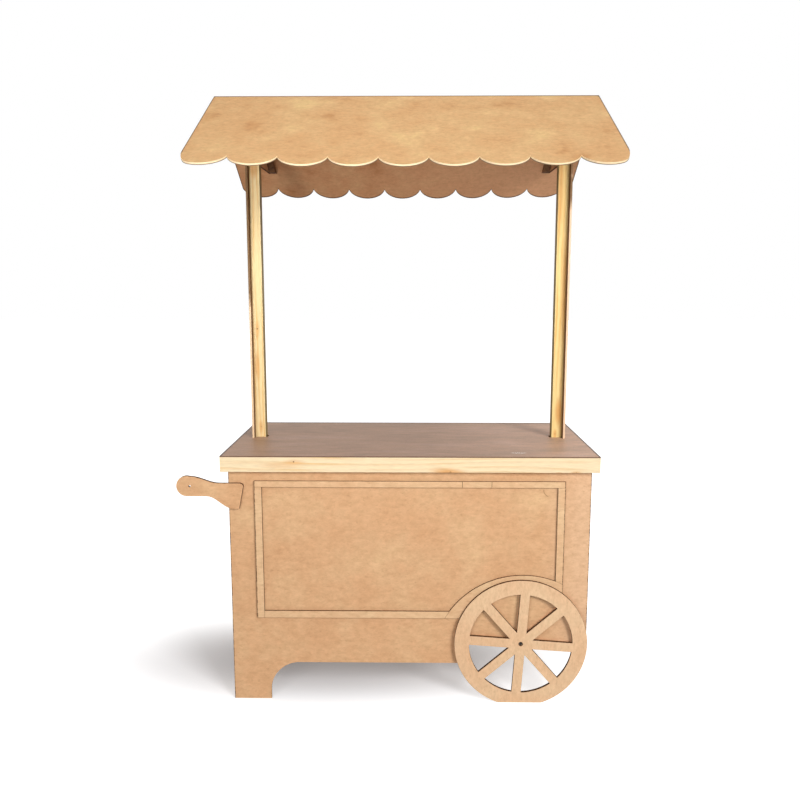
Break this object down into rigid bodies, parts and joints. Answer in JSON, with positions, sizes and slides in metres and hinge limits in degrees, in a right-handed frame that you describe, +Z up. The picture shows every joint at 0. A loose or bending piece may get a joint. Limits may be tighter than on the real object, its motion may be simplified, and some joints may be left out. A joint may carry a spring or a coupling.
{
  "type": "barrow stall",
  "caption": "Raw fibreboard barrow stall: cabinet on feet and a false spoked wheel, side handle, lath-edged counter and a lift-off gabled roof with scalloped eaves on two posts.",
  "frame": {"origin": "on the floor, under the middle of the stall's bounding box", "axes": "+Z up, +X to the right of someone who faces the wheel and the panelled front, +Y from that front to the open back"},
  "size_m": [1.143, 0.8242, 1.654],
  "materials": {
    "raw_fibreboard": "raw medium-density fibreboard with browned cut edges, matte",
    "hardboard": "smooth grey-brown hardboard, slightly satin",
    "pine": "planed bare pine with orange grain, matte",
    "screw_steel": "dark zinc-plated steel"
  },
  "bodies": {
    "cabinet": {"front_panel": "raw_fibreboard", "left_side_panel": "raw_fibreboard", "right_side_panel": "raw_fibreboard", "bottom_board": "raw_fibreboard", "front_rail": "pine", "back_top_rail": "pine", "back_bottom_rail": "pine", "left_bottom_cleat": "pine", "right_bottom_cleat": "pine", "front_left_batten": "pine", "front_right_batten": "pine", "back_left_batten": "pine", "back_right_batten": "pine", "counter_sheet": "hardboard", "counter_front_lath": "pine", "counter_back_lath": "pine", "counter_left_lath": "pine", "counter_right_lath": "pine", "left_stiffener": "pine", "right_stiffener": "pine", "top_moulding": "raw_fibreboard", "left_moulding": "raw_fibreboard", "right_moulding": "raw_fibreboard", "bottom_moulding": "raw_fibreboard", "arch_moulding": "raw_fibreboard", "wheel": "raw_fibreboard", "wheel_packing": "raw_fibreboard", "wheel_screw": "screw_steel", "handle": "raw_fibreboard", "handle_screws": "screw_steel", "left_socket_cheeks": "pine", "left_socket_packer": "pine", "left_socket_plate": "raw_fibreboard", "left_socket_stop": "pine", "right_socket_cheeks": "pine", "right_socket_packer": "pine", "right_socket_plate": "raw_fibreboard", "right_socket_stop": "pine"},
    "canopy": {"left_post": "pine", "right_post": "pine", "left_post_strip": "raw_fibreboard", "right_post_strip": "raw_fibreboard", "post_screws": "screw_steel", "front_roof": "raw_fibreboard", "back_roof": "raw_fibreboard", "left_gable": "raw_fibreboard", "right_gable": "raw_fibreboard", "ridge_batten": "pine", "left_front_cleat": "pine", "left_back_cleat": "pine", "right_front_cleat": "pine", "right_back_cleat": "pine"}
  },
  "joints": [
    {"name": "canopy_lift", "type": "slide", "parent": "cabinet", "child": "canopy", "axis": [0, 0, 1], "range_m": [0, 0.26]}
  ]
}
